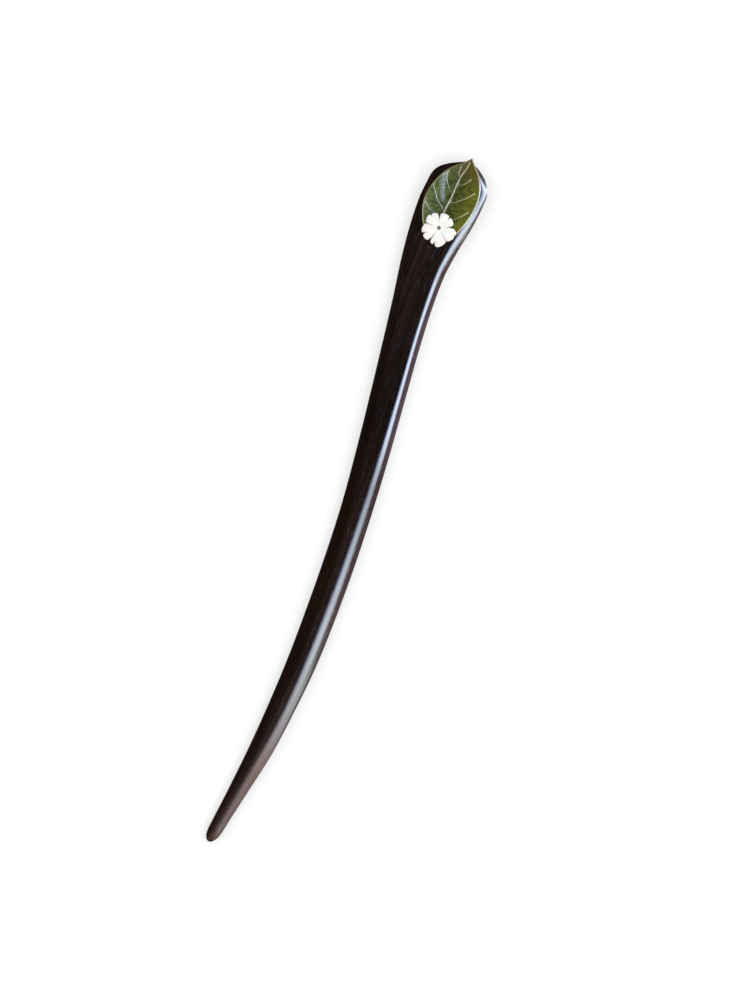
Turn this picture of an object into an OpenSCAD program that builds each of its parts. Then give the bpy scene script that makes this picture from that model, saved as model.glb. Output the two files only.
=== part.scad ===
// Hair stick of dark polished hardwood, lying on its back.
// The shaft bows sideways, runs out in a blunt rounded tip and flares into a flat-faced head.
// A carved stone leaf is glued on the face of the head, and a shell flower over the leaf's foot.
// Millimetres. X runs from the tip to the head and Z is up. The origin is the middle of the
// whole hair stick's footprint, on the surface that it rests on.

/* [Stick] */
// Length from the tip to the end of the head
stick_length = 180; // [150:1:210]
// Sideways bow of the middle line at its widest
bow = 5.8; // [3:0.1:8]
// Width of the shaft at its middle
shaft_w = 7.8; // [6.5:0.1:9]
// Thickness of the shaft and of the head
stock_t = 6.4; // [5:0.1:8]
// Width behind the rounded tip
tip_w = 3.4; // [2.5:0.1:5]
// Thickness behind the rounded tip
tip_t = 3.2; // [2.4:0.1:4.4]
// Length of the rounded tip
tip_round = 3.4; // [2:0.1:5]
// Height of the tip's underside above the surface
tip_lift = 1.1; // [0.3:0.1:1.8]
// Depth to which the back is rubbed flat
back_flat = 0.15; // [0.05:0.05:0.3]

/* [Head] */
// Width of the head at its widest
head_w = 15.3; // [14:0.1:18]
// Length over which the head's end closes to a point
crown_length = 8; // [6:0.1:11]
// Fullness of that end, where 1 is a straight point and more is fuller
crown_power = 2.75; // [1.6:0.05:4]
// Fullness of the face's rounded corners where it is flat, where 2 is an ellipse
bevel_power = 1.4; // [1.2:0.05:2]
// Rounding of the head's face down to its end
end_round = 1.5; // [0.8:0.1:2.5]
// Rounding of the head's back up to its end
keel_round = 5; // [3:0.5:7]
// Rise of the head's back towards its end
back_rise = 1.3; // [0.5:0.1:2]

/* [Leaf] */
// Length from the foot to the point
leaf_length = 22.3; // [18:0.1:25]
// Width at its widest
leaf_w = 12.6; // [10:0.1:13.5]
// Thickness along the midrib and at the point
leaf_t = 0.7; // [0.5:0.05:1.2]
// Rise of the dished face from the midrib to the rim
dish_rise = 0.8; // [0.4:0.05:1.4]
// Width and depth of the bevel round the rim
bevel_w = 0.3; // [0.2:0.05:0.4]
// Width of the midrib's groove
rib_w = 0.5; // [0.3:0.05:0.8]
// Depth of the midrib's groove
rib_depth = 0.12; // [0.05:0.01:0.3]
// Width of a side vein's groove
vein_w = 0.42; // [0.25:0.01:0.6]
// Depth of a side vein's groove
vein_depth = 0.1; // [0.05:0.01:0.25]
// Reach of the point past the end of the head
leaf_overhang = 0.8; // [0:0.1:1.5]
// Turn of the leaf towards the stick's right side
leaf_turn = 4; // [0:0.5:8]
// Offset of the point towards the stick's right side
leaf_side = 0.9; // [0:0.1:2]

/* [Flower] */
// Reach of a full petal from the centre
flower_r = 4.3; // [3.5:0.1:5]
// Thickness of the flower at the crown of its petals
flower_t = 1.3; // [1:0.05:1.8]
// Thickness of a petal's edge
petal_edge_t = 0.7; // [0.4:0.05:0.9]
// Depth of the hollow round the centre
cup_depth = 0.35; // [0.1:0.05:0.5]
// Depth of the creases between the petals
crease_depth = 0.25; // [0.1:0.05:0.35]
// Diameter of the drilled hole
hole_d = 0.8; // [0.6:0.1:1.2]
// Diameter of the raised ring round the hole
ring_d = 1.8; // [1.6:0.1:2.2]
// Rise of that ring
ring_rise = 0.12; // [0.05:0.01:0.2]
// Distance from the leaf's foot to the flower's centre
flower_along = 3.3; // [2.5:0.1:6]
// Offset of that centre towards the stick's left side
flower_side = 0.3; // [-1:0.1:1.5]

/* [Fit] */
// Clearance under the leaf and under the flower, which glue fills
glue_gap = 0.05; // [0.02:0.01:0.15]

/* [Hidden] */

// Sections of the stick. Each row holds a place along the stick, as a share of its length, the
// sideways place of its middle, as a share of the bow, how far it is drawn in to the tip's size
// and out to the head's width, the flat share of its face, the share of the back's rise, and how
// far below its face its widest line runs, as a share of its thickness.
SECTIONS = [
    // along, bow,   tip,   flare, flat, back, brow
    [0.00, -0.02, 1.00, 0.000, 0.08, 0.0, 0.5],
    [0.03, 0.12, 0.92, 0.000, 0.04, 0.0, 0.5],
    [0.08, 0.37, 0.72, 0.000, 0.04, 0.0, 0.5],
    [0.14, 0.65, 0.44, 0.000, 0.06, 0.0, 0.5],
    [0.20, 0.83, 0.28, 0.000, 0.18, 0.0, 0.5],
    [0.27, 0.97, 0.12, 0.000, 0.12, 0.0, 0.5],
    [0.34, 1.00, 0.04, 0.000, 0.11, 0.0, 0.5],
    [0.42, 0.96, 0.00, 0.000, 0.16, 0.0, 0.5],
    [0.50, 0.84, 0.00, 0.015, 0.24, 0.0, 0.48],
    [0.58, 0.63, 0.00, 0.075, 0.36, 0.0, 0.45],
    [0.66, 0.37, 0.00, 0.135, 0.47, 0.0, 0.42],
    [0.74, 0.10, 0.00, 0.215, 0.54, 0.0, 0.40],
    [0.79, -0.05, 0.00, 0.310, 0.58, 0.0, 0.38],
    [0.84, -0.17, 0.00, 0.495, 0.61, 0.1, 0.36],
    [0.88, -0.16, 0.00, 0.730, 0.64, 0.25, 0.32],
    [0.91, -0.10, 0.00, 0.915, 0.68, 0.4, 0.27],
    [0.935, -0.05, 0.00, 1.000, 0.74, 0.6, 0.21],
    [0.96, 0.01, 0.00, 0.975, 0.74, 0.8, 0.17],
    [0.98, 0.02, 0.00, 0.950, 0.72, 0.9, 0.17],
    [1.00, 0.16, 0.00, 0.930, 0.70, 1.0, 0.17],
];
BOW = 1;
TIP = 2;
FLARE = 3;
FLAT = 4;
BACK = 5;
BROW = 6;

// Flat share of the back at the end of the head, and the least flat share of any section
KEEL_FLAT = 0.4;
MIN_FLAT = 0.04;

// Rings of points round the tip, along the shaft and head, and round the head's end, and the
// steps of each of a ring's four rounded corners
TIP_RINGS = 7;
SHAFT_RINGS = 60;
CROWN_RINGS = 12;
CORNER_STEPS = 7;

// Outline of the leaf. Each row holds a place along the leaf, as a share of its length, and the
// reach of its left and right sides and of its midrib from the leaf's axis, as shares of its width.
OUTLINE = [
    // along, left, right, midrib
    [0.00, 0.27, 0.25, 0.040],
    [0.10, 0.34, 0.31, 0.054],
    [0.20, 0.43, 0.368, 0.060],
    [0.30, 0.502, 0.42, 0.061],
    [0.42, 0.535, 0.457, 0.057],
    [0.55, 0.513, 0.468, 0.050],
    [0.68, 0.444, 0.43, 0.057],
    [0.78, 0.352, 0.353, 0.047],
    [0.86, 0.235, 0.252, 0.018],
    [0.92, 0.118, 0.14, 0.003],
    [1.00, 0.002, 0.002, 0.000],
];
LEFT = 1;
RIGHT = 2;
MIDRIB = 3;

// Share of the leaf's length over which its foot rounds off, how far its veins run forward from
// the midrib to the edge, and how strongly they curve on the way
FOOT_ROUND = 0.16;
VEIN_SLANT = 0.26;
VEIN_CURVE = 1.3;

// Most of the way from the midrib to the edge that the midrib's groove takes, and the place where
// the bevel starts at the earliest
RIB_SHARE = 0.25;
BEVEL_FROM = 0.6;

// Rows of points at the leaf's foot and point and places of those between two veins, the steps
// from the midrib to the edge, and how far a groove's banks lie from its middle, in vein widths
FOOT_ROWS = 5;
POINT_ROWS = 7;
ROWS_BETWEEN = [0.3, 0.7];
ACROSS_STEPS = 5;
BANK = 0.7;

// Side veins from foot to point. Each row holds where a vein leaves the midrib, as a share of the
// leaf's length, its side, which is 1 for left and -1 for right, and where its groove starts and
// ends, as shares of the way from the midrib to the edge.
VEINS = [
    // along, side, start, end
    [0.19, 1, 0.40, 0.86],
    [0.25, -1, 0.45, 0.83],
    [0.36, 1, 0.00, 0.93],
    [0.45, -1, 0.05, 0.80],
    [0.55, 1, 0.05, 0.80],
    [0.66, -1, 0.05, 0.60],
    [0.75, 1, 0.15, 0.55],
];

// Lobes round the flower, two to a petal. Each row holds the angle of the filed cut before a lobe,
// the reach beside that cut, the cut's depth and half its width, and the angle and reach of the
// lobe's top. Angles turn left from the leaf's point, and a reach or depth is a share of a full
// petal's. Every second cut, from the first, is a cleft between two petals.
LOBES = [
    // cut at, beside, depth, half width, top at, top
    [-63, 0.79, 0.24, 8, -30, 0.89],
    [-22, 0.87, 0.14, 4.5, -5, 0.90],
    [23.5, 0.80, 0.29, 7, 45, 0.905],
    [56, 0.90, 0.08, 4, 64, 0.95],
    [93, 0.80, 0.07, 5, 126, 1.01],
    [133.5, 0.98, 0.17, 5, 148, 1.02],
    [167, 0.92, 0.25, 6.5, 180, 1.00],
    [187.5, 1.00, 0.17, 4.5, 199, 1.11],
    [232, 0.88, 0.04, 3, 258, 1.03],
    [267.5, 0.99, 0.08, 3.5, 273, 1.02],
];

// How full a lobe's hill is, and how sharply a cut runs in, where 1 is straight
LOBE_FULLNESS = 1.5;
CUT_SHARPNESS = 1.2;

// Places of the directions between a cut's edge and a lobe's top, and how far a crease spreads
// round from its cleft
LOBE_SHARES = [0, 0.3, 0.65];
CREASE_SPREAD = 7;

// Places of the rings from the raised ring round the hole out to the petals' edge, how squarely
// the petals round off there, and the radius of the ring's crest, as a share of its diameter
PETAL_STEPS = [0.12, 0.3, 0.5, 0.7, 0.87, 1];
PETAL_SQUARENESS = 4;
RING_CREST = 0.36;
HOLE_SIDES = 32;

// Half of the stretch over which the rim's slope under the flower is taken, and how far a cut
// runs past what it cuts
SLOPE_REACH = 0.1;
SPARE = 1;

// Value part of the way from one value to another
function mix(a, b, share) = a + (b - a) * share;

// Quarter of an ellipse, from 0 at the start of a rounding to 1 at its end
function rounding(way, length) = sqrt(max(0, 1 - pow(1 - min(1, way / length), 2)));

// Smooth curve through one column of a table, by the place along it in the table's first column
function span_at(rows, x, i = 0) = i >= len(rows) - 2 || x <= rows[i + 1][0] ? i : span_at(rows, x, i + 1);
function rise_at(rows, col, i) =
    let (a = rows[max(0, i - 1)], b = rows[min(len(rows) - 1, i + 1)]) (b[col] - a[col]) / (b[0] - a[0]);
function curve(rows, col, x) =
    let (
        i = span_at(rows, x),
        a = rows[i],
        b = rows[i + 1],
        span = b[0] - a[0],
        t = (x - a[0]) / span,
        from = rise_at(rows, col, i) * span,
        to = rise_at(rows, col, i + 1) * span,
        step = b[col] - a[col]
    )
    a[col] + t * (from + t * (3 * step - 2 * from - to + t * (from + to - 2 * step)));

// Closed skin over rings of points that run one after another, with a point before the first ring
// and one after the last. The rings turn left as seen from that first point.
module skin(first, rings, last) {
    around = len(rings[0]);
    count = len(rings);
    points = concat([first], [for (ring = rings) each ring], [last]);
    ring_faces = [
        for (i = [0:count - 2], k = [0:around - 1])
            let (a = 1 + i * around + k, b = 1 + i * around + (k + 1) % around)
            each [[a, b, b + around], [a, b + around, a + around]],
    ];
    end = 1 + count * around;
    first_faces = [for (k = [0:around - 1]) [0, 1 + (k + 1) % around, 1 + k]];
    last_faces = [for (k = [0:around - 1]) [end, end - around + k, end - around + (k + 1) % around]];
    polyhedron(points, concat(ring_faces, first_faces, last_faces), convexity = 6);
}

// Places of the stick's rings along its length
crown_start = stick_length - crown_length;
STATIONS = concat(
    [for (i = [1:TIP_RINGS]) tip_round * (1 - cos(90 * i / TIP_RINGS))],
    [for (i = [1:SHAFT_RINGS]) mix(tip_round, crown_start, i / SHAFT_RINGS)],
    [for (i = [1:CROWN_RINGS - 1]) mix(crown_start, stick_length, sin(90 * i / CROWN_RINGS))]
);

// Shape of the stick's section at a place along it
function at(x, col) = curve(SECTIONS, col, x / stick_length);
function middle(x) = -bow * at(x, BOW);
function drawn_in(x) = max(0, at(x, TIP));
function crown(x) =
    let (way = max(0, x - crown_start) / crown_length)
    1 - pow(way, crown_power);
function half_width(x) =
    mix(mix(shaft_w, tip_w, drawn_in(x)), head_w, at(x, FLARE)) / 2 * rounding(x, tip_round) * crown(x);
function underside(x) = tip_lift * pow(drawn_in(x), 2) + back_rise * at(x, BACK) - back_flat;
function topside(x) = mix(stock_t, tip_t + tip_lift, drawn_in(x));
function widest_line(x) = mix(topside(x), underside(x), at(x, BROW));
function face_flat(x) = max(MIN_FLAT, 1 - (1 - at(x, FLAT)) / max(MIN_FLAT, crown(x)));
function keel_flat(x) = mix(face_flat(x), min(face_flat(x), KEEL_FLAT), at(x, BACK));
function bent(value, bend) = sign(value) * pow(abs(value), bend);

// One ring of the stick: four rounded corners, the first two of the back and the others of the
// face, with flats between them. It turns left as seen from the tip.
function stick_ring(x) =
    let (
        half = half_width(x),
        z = widest_line(x),
        above = (topside(x) - z) * rounding(x, tip_round) * rounding(stick_length - x, end_round),
        below = (z - underside(x)) * rounding(x, tip_round) * rounding(stick_length - x, keel_round)
    )
    [
        for (corner = [0:3], i = [0:CORNER_STEPS])
            let (
                turn = 90 * (corner + i / CORNER_STEPS),
                side = corner == 0 || corner == 3 ? 1 : -1,
                flat = half * (corner < 2 ? keel_flat(x) : face_flat(x)),
                reach = corner < 2 ? below : above,
                bend = corner < 2 ? 1 : 2 / mix(2, bevel_power, at(x, FLAT)),
                out = side * flat + (half - flat) * bent(cos(turn), bend)
            )
            [x, middle(x) + out, z - reach * bent(sin(turn), bend)],
    ];

// Middle of the footprint, which is where the origin goes
point_x = stick_length + leaf_overhang;
left_edge = max([for (x = STATIONS) middle(x) + half_width(x)]);
right_edge = min([for (x = STATIONS) middle(x) - half_width(x)]);
origin_x = point_x / 2;
origin_y = (left_edge + right_edge) / 2;

module stick() {
    ends = [for (x = [0, stick_length]) [x, middle(x), widest_line(x)]];
    color("#2b1a17") translate([-origin_x, -origin_y, 0]) difference() {
        skin(ends[0], [for (x = STATIONS) stick_ring(x)], ends[1]);
        // The back is rubbed flat where it rests
        translate([-SPARE, right_edge - SPARE, -SPARE])
            cube([stick_length + 2 * SPARE, left_edge - right_edge + 2 * SPARE, SPARE]);
    }
}

// Shape of the leaf, in its own frame: X runs from its foot to its point, and Z is up from its
// underside
function leaf_at(t, col) = leaf_w * curve(OUTLINE, col, t);
function midrib(t) = leaf_at(t, MIDRIB) * rounding(t, FOOT_ROUND);
function edge(t, side) = side * leaf_at(t, side > 0 ? LEFT : RIGHT) * rounding(t, FOOT_ROUND);
function lead(t) = VEIN_SLANT * sin(180 * t);

// The face is dished: it rises straight from the midrib to the rim, in full where the leaf is widest
function raise(t) = (leaf_at(t, LEFT) + leaf_at(t, RIGHT)) / leaf_w * rounding(t, FOOT_ROUND);
function rim_height(x) = leaf_t + dish_rise * raise(x / leaf_length);
function across(x, y, side) =
    let (t = x / leaf_length, rib = midrib(t))
    min(1, max(0, (y - rib) / (edge(t, side) - rib)));
function face_height(x, y, side) = mix(leaf_t, rim_height(x), across(x, y, side));

// Rows of points across the leaf. Each row leaves the midrib at its first number and runs forward
// to the edge as a vein does, and the other numbers are the side, start and end of its vein.
bank = BANK * vein_w / leaf_length;
vein_spans = concat([FOOT_ROUND], [for (vein = VEINS) vein[0]]);
last_vein = vein_spans[len(VEINS)];
LEAF_ROWS = concat(
    [for (i = [1:FOOT_ROWS]) [FOOT_ROUND * pow(i / (FOOT_ROWS + 1), 2), 0, 0, 0]],
    [
        for (i = [0:len(VEINS) - 1])
            let (vein = VEINS[i], before = vein_spans[i], after = vein[0] - bank)
            each [
                for (share = ROWS_BETWEEN) [mix(before, after, share), 0, 0, 0],
                [after, 0, 0, 0],
                vein,
                [vein[0] + bank, 0, 0, 0],
            ],
    ],
    [for (i = [1:POINT_ROWS]) [mix(last_vein + bank, 1, sin(90 * i / POINT_ROWS)), 0, 0, 0]]
);

// Point of a row on one side, at a share of the way from the midrib to the edge
function leaf_point(row, side, way, lower) =
    let (
        t = row[0],
        e = t + lead(t),
        x = leaf_length * mix(t, e, pow(way, VEIN_CURVE)),
        y = mix(midrib(t), edge(e, side), way),
        groove = row[1] == side && way > row[2] && way < row[3] ? vein_depth : 0
    )
    [x, y, face_height(x, y, side) - lower - groove];

// One row from the right edge to the left: underside, bevel, face, midrib, face, bevel and
// underside. Where the leaf is narrow, the bevel and the midrib's groove share what there is.
function leaf_side_points(row, side) =
    let (
        t = row[0],
        width = abs(edge(t + lead(t), side) - midrib(t)),
        rib = min(RIB_SHARE, rib_w / 2 / width),
        bevel = max(BEVEL_FROM, 1 - bevel_w / width),
        rim = leaf_point(row, side, 1, bevel_w)
    )
    concat(
        [for (i = [0:ACROSS_STEPS]) leaf_point(row, side, mix(rib, bevel, i / ACROSS_STEPS), 0)],
        [rim, [rim[0], rim[1], 0]]
    );
function leaf_row(row) =
    let (left = leaf_side_points(row, 1), right = leaf_side_points(row, -1), n = len(left))
    concat(
        [for (i = [n - 1:-1:0]) right[i]],
        [leaf_point(row, 1, 0, rib_depth * raise(row[0]))],
        left
    );

module leaf() {
    rows = [for (row = LEAF_ROWS) leaf_row(row)];
    foot = [0, 0, (leaf_t - bevel_w) / 2];
    color("#5c6e33") in_leaf_frame() skin(foot, rows, [leaf_length, 0, (leaf_t - bevel_w) / 2]);
}

// Places what is drawn in the leaf's frame on the face of the head
module in_leaf_frame() {
    translate([point_x - origin_x, -leaf_side - origin_y, stock_t + glue_gap])
        rotate([0, 0, -leaf_turn])
        translate([-leaf_length, 0, 0])
        children();
}

// Angle and row of the next cut after a lobe
function next_at(i) = i + 1 < len(LOBES) ? LOBES[i + 1][0] : LOBES[0][0] + 360;
function next_row(i) = LOBES[(i + 1) % len(LOBES)];

// Depth of a cut at a share of the way out of it, from 1 to 0
function cut(way) = pow(max(0, 1 - way), CUT_SHARPNESS);

// Reach of a lobe in one direction, as a share of a full petal's: a rounded hill, less the cuts
// on both sides of it
function lobe_reach(i, angle) =
    let (
        row = LOBES[i],
        next = next_row(i),
        after = angle - row[0],
        before = next_at(i) - angle,
        rising = angle < row[4],
        way = rising ? after / (row[4] - row[0]) : before / (next_at(i) - row[4]),
        beside = rising ? row[1] : next[1],
        hill = mix(beside, row[5], 1 - pow(1 - way, LOBE_FULLNESS))
    )
    hill - row[2] * cut(after / row[3]) - next[2] * cut(before / next[3]);

// Depth of the crease in one direction, from 0 to 1
function crease_at(i, angle) =
    let (gap = i % 2 == 0 ? angle - LOBES[i][0] : next_at(i) - angle) exp(-pow(gap / CREASE_SPREAD, 2));

// Directions round the flower. Each holds an angle, the reach and the depth of the crease.
function lobe_angles(i) =
    let (row = LOBES[i], from = row[0] + row[3], to = next_at(i) - next_row(i)[3])
    concat(
        [row[0]],
        [for (share = LOBE_SHARES) mix(from, row[4], share)],
        [row[4]],
        [for (k = [len(LOBE_SHARES) - 1:-1:0]) mix(to, row[4], LOBE_SHARES[k])]
    );
DIRECTIONS = [
    for (i = [0:len(LOBES) - 1], angle = lobe_angles(i)) [angle, lobe_reach(i, angle), crease_at(i, angle)],
];

// Rings of the flower's top
function flower_point(direction, radius, z) =
    [radius * cos(direction[0]), radius * sin(direction[0]), z];
function petal_top(way, crease) =
    mix(petal_edge_t, flower_t, 1 - pow(way, PETAL_SQUARENESS))
    - cup_depth * pow(1 - way, 2)
    - crease_depth * crease * (1 - pow(2 * way - 1, PETAL_SQUARENESS));
function petal_ring(way) = [
    for (d = DIRECTIONS) flower_point(d, mix(ring_d / 2, flower_r * d[1], way), petal_top(way, d[2]))
];
function round_ring(radius, z) = [for (d = DIRECTIONS) flower_point(d, radius, z)];

module flower() {
    cup = flower_t - cup_depth;
    rings = concat(
        [round_ring(ring_d * RING_CREST, cup + ring_rise)],
        [round_ring(ring_d / 2, cup)],
        [for (way = PETAL_STEPS) petal_ring(way)],
        [[for (d = DIRECTIONS) flower_point(d, flower_r * d[1], 0)]]
    );
    fore = rim_height(flower_along + SLOPE_REACH);
    aft = rim_height(flower_along - SLOPE_REACH);
    tilt = atan((fore - aft) / (2 * SLOPE_REACH));
    // The flower lies across the leaf's raised rim, so it tilts as the rim does there
    color("#f3f2ec") in_leaf_frame()
        translate([flower_along, flower_side, rim_height(flower_along) + glue_gap])
        rotate([0, -tilt, 0])
        difference() {
            skin([0, 0, cup + ring_rise], rings, [0, 0, 0]);
            translate([0, 0, -SPARE]) cylinder(d = hole_d, h = flower_t + 2 * SPARE, $fn = HOLE_SIDES);
        }
}

stick();
leaf();
flower();
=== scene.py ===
import math

import bpy
import numpy as np
from mathutils import Matrix, Vector


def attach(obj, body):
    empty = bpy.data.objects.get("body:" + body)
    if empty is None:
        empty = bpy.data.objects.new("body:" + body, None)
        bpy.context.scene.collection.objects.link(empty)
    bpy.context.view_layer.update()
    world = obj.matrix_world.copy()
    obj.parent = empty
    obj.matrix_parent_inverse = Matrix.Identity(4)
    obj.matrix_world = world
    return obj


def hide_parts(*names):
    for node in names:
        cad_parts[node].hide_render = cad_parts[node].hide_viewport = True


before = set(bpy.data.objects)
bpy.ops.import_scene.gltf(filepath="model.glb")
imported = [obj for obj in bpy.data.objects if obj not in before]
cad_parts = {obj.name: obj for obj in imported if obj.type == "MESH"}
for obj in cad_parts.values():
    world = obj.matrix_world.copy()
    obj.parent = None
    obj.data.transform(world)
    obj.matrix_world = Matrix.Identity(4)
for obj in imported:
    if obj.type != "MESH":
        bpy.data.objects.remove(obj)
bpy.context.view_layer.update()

# The object's lengths are millimetres in the frame's axes: X runs from the stick's tip to its head,
# Y to the left of that, and Z up from the surface that it rests on. MM turns them into metres.
MM = 0.001

# Stick
STICK_LENGTH = 180.0
BOW = 5.8
SHAFT_W = 7.8
STOCK_T = 6.4
TIP_W = 3.4
TIP_T = 3.2
TIP_ROUND = 3.4
TIP_LIFT = 1.1
BACK_FLAT = 0.15
HEAD_W = 15.3
CROWN_LENGTH = 8.0
CROWN_POWER = 2.75
BEVEL_POWER = 1.4
END_ROUND = 1.5
KEEL_ROUND = 5.0
BACK_RISE = 1.3

# Leaf
LEAF_LENGTH = 22.3
LEAF_W = 12.6
LEAF_T = 0.7
DISH_RISE = 0.8
BEVEL_W = 0.3
VEIN_DEPTH = 0.10
LEAF_OVERHANG = 0.8
LEAF_TURN = 4.0
LEAF_SIDE = 0.9
FOOT_ROUND = 0.16
VEIN_SLANT = 0.26
VEIN_CURVE = 1.3

# Flower
FLOWER_R = 4.3
FLOWER_T = 1.3
PETAL_EDGE_T = 0.7
CUP_DEPTH = 0.35
CREASE_DEPTH = 0.25
PETAL_SQUARENESS = 4
PETAL_BLUNTNESS = 0.8
EDGE_TUCK = 0.08
HOLE_D = 0.8
RING_D = 1.8
RING_RISE = 0.12
RING_BLUNTNESS = 0.8
FLOWER_ALONG = 3.3
FLOWER_SIDE = 0.3

GLUE_GAP = 0.05

# Sections of the stick: a place along it, the sideways place of its middle, how far it is drawn in
# to the tip's size and out to the head's width, the flat share of its face, the back's rise, and
# how far below its face its widest line runs
SECTIONS = np.array([
    # along, bow, tip, flare, flat, back, brow
    [0.00, -0.02, 1.00, 0.000, 0.08, 0.0, 0.5],
    [0.03, 0.12, 0.92, 0.000, 0.04, 0.0, 0.5],
    [0.08, 0.37, 0.72, 0.000, 0.04, 0.0, 0.5],
    [0.14, 0.65, 0.44, 0.000, 0.06, 0.0, 0.5],
    [0.20, 0.83, 0.28, 0.000, 0.18, 0.0, 0.5],
    [0.27, 0.97, 0.12, 0.000, 0.12, 0.0, 0.5],
    [0.34, 1.00, 0.04, 0.000, 0.11, 0.0, 0.5],
    [0.42, 0.96, 0.00, 0.000, 0.16, 0.0, 0.5],
    [0.50, 0.84, 0.00, 0.015, 0.24, 0.0, 0.48],
    [0.58, 0.63, 0.00, 0.075, 0.36, 0.0, 0.45],
    [0.66, 0.37, 0.00, 0.135, 0.47, 0.0, 0.42],
    [0.74, 0.10, 0.00, 0.215, 0.54, 0.0, 0.40],
    [0.79, -0.05, 0.00, 0.310, 0.58, 0.0, 0.38],
    [0.84, -0.17, 0.00, 0.495, 0.61, 0.1, 0.36],
    [0.88, -0.16, 0.00, 0.730, 0.64, 0.25, 0.32],
    [0.91, -0.10, 0.00, 0.915, 0.68, 0.4, 0.27],
    [0.935, -0.05, 0.00, 1.000, 0.74, 0.6, 0.21],
    [0.96, 0.01, 0.00, 0.975, 0.74, 0.8, 0.17],
    [0.98, 0.02, 0.00, 0.950, 0.72, 0.9, 0.17],
    [1.00, 0.16, 0.00, 0.930, 0.70, 1.0, 0.17],
])
SECTION_BOW, SECTION_TIP, SECTION_FLARE, SECTION_FLAT, SECTION_BACK, SECTION_BROW = 1, 2, 3, 4, 5, 6
KEEL_FLAT = 0.4
MIN_FLAT = 0.04

# Outline of the leaf: a place along it, and the reach of its left and right sides and of its
# midrib from the leaf's axis, as shares of its width
OUTLINE = np.array([
    # along, left, right, midrib
    [0.00, 0.27, 0.25, 0.040],
    [0.10, 0.34, 0.31, 0.054],
    [0.20, 0.43, 0.368, 0.060],
    [0.30, 0.502, 0.42, 0.061],
    [0.42, 0.535, 0.457, 0.057],
    [0.55, 0.513, 0.468, 0.050],
    [0.68, 0.444, 0.43, 0.057],
    [0.78, 0.352, 0.353, 0.047],
    [0.86, 0.235, 0.252, 0.018],
    [0.92, 0.118, 0.14, 0.003],
    [1.00, 0.002, 0.002, 0.000],
])
LEFT, RIGHT, MIDRIB = 1, 2, 3

# Lobes round the flower, two to a petal: the angle of the filed cut before a lobe, the reach beside
# that cut, the cut's depth and half its width, and the angle and reach of the lobe's top. Angles
# turn left from the leaf's point, and a reach or depth is a share of a full petal's.
LOBES = [
    # cut at, beside, depth, half width, top at, top
    (-63, 0.79, 0.24, 8, -30, 0.89),
    (-22, 0.87, 0.14, 4.5, -5, 0.90),
    (23.5, 0.80, 0.29, 7, 45, 0.905),
    (56, 0.90, 0.08, 4, 64, 0.95),
    (93, 0.80, 0.07, 5, 126, 1.01),
    (133.5, 0.98, 0.17, 5, 148, 1.02),
    (167, 0.92, 0.25, 6.5, 180, 1.00),
    (187.5, 1.00, 0.17, 4.5, 199, 1.11),
    (232, 0.88, 0.04, 3, 258, 1.03),
    (267.5, 0.99, 0.08, 3.5, 273, 1.02),
]
# Painted shade: how dark each petal's crease is painted, from the first cleft on, and the wall
# of the drilled hole and the inner side of the ring
CREASE_SHADES = [0.10, 0.20, 0.62, 0.72, 0.62]
HOLE_SHADE = 0.30
RING_SHADE = 0.45
# Share of the ring's rise up to which the hole's wall runs, and of its arch where the ring begins
RING_LIP = 0.6
RING_START = 0.2
LOBE_FULLNESS = 1.5
CUT_SHARPNESS = 1.2
CREASE_SPREAD = 2.5

# How far the leaf's face sinks towards its engraved lines, and over which distance
PUFF_RISE = 0.18
PUFF_REACH = 1.25
# Reach of a groove to each side, as a share of its line's width, and how blunt its floor is
GROOVE_REACH = 0.60
GROOVE_BLUNTNESS = 0.8
# Distances from the leaf's outline between which its relief comes in, and the shares of the bevel's
# width between which the rim's pale ground look, with its painted highlight on the right side, fades out
RELIEF_FADE = (0.1, 0.5)
RIM_FADE = (1.15, 0.70)


def mix(a, b, share):
    return a + (b - a) * share


def smooth_step(low, high, value):
    t = np.clip((value - low) / (high - low), 0.0, 1.0)
    return t * t * (3.0 - 2.0 * t)


def rounding(way, length):
    """Quarter of an ellipse, from 0 at the start of a rounding to 1 at its end."""
    return np.sqrt(np.maximum(0.0, 1.0 - (1.0 - np.minimum(1.0, way / length)) ** 2))


def curve(rows, column, place):
    """Smooth curve through one column of a table, by the place along it in the first column."""
    x, y = rows[:, 0], rows[:, column]
    slope = np.gradient(y)
    slope[1:-1] = (y[2:] - y[:-2]) / (x[2:] - x[:-2])
    slope[0] = (y[1] - y[0]) / (x[1] - x[0])
    slope[-1] = (y[-1] - y[-2]) / (x[-1] - x[-2])
    i = np.clip(np.searchsorted(x, place) - 1, 0, len(x) - 2)
    span = x[i + 1] - x[i]
    t = (place - x[i]) / span
    start, end, step = slope[i] * span, slope[i + 1] * span, y[i + 1] - y[i]
    return y[i] + t * (start + t * (3 * step - 2 * start - end + t * (start + end - 2 * step)))


def in_scene(name, data):
    """New object for a mesh, a light or the camera, linked to the scene."""
    made = bpy.data.objects.new(name, data)
    bpy.context.scene.collection.objects.link(made)
    return made


def new_object(name, points, faces):
    """New object with a mesh over points in metres."""
    mesh = bpy.data.meshes.new(name)
    mesh.from_pydata(points.tolist(), [], faces)
    mesh.update()
    return in_scene(name, mesh)


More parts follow.
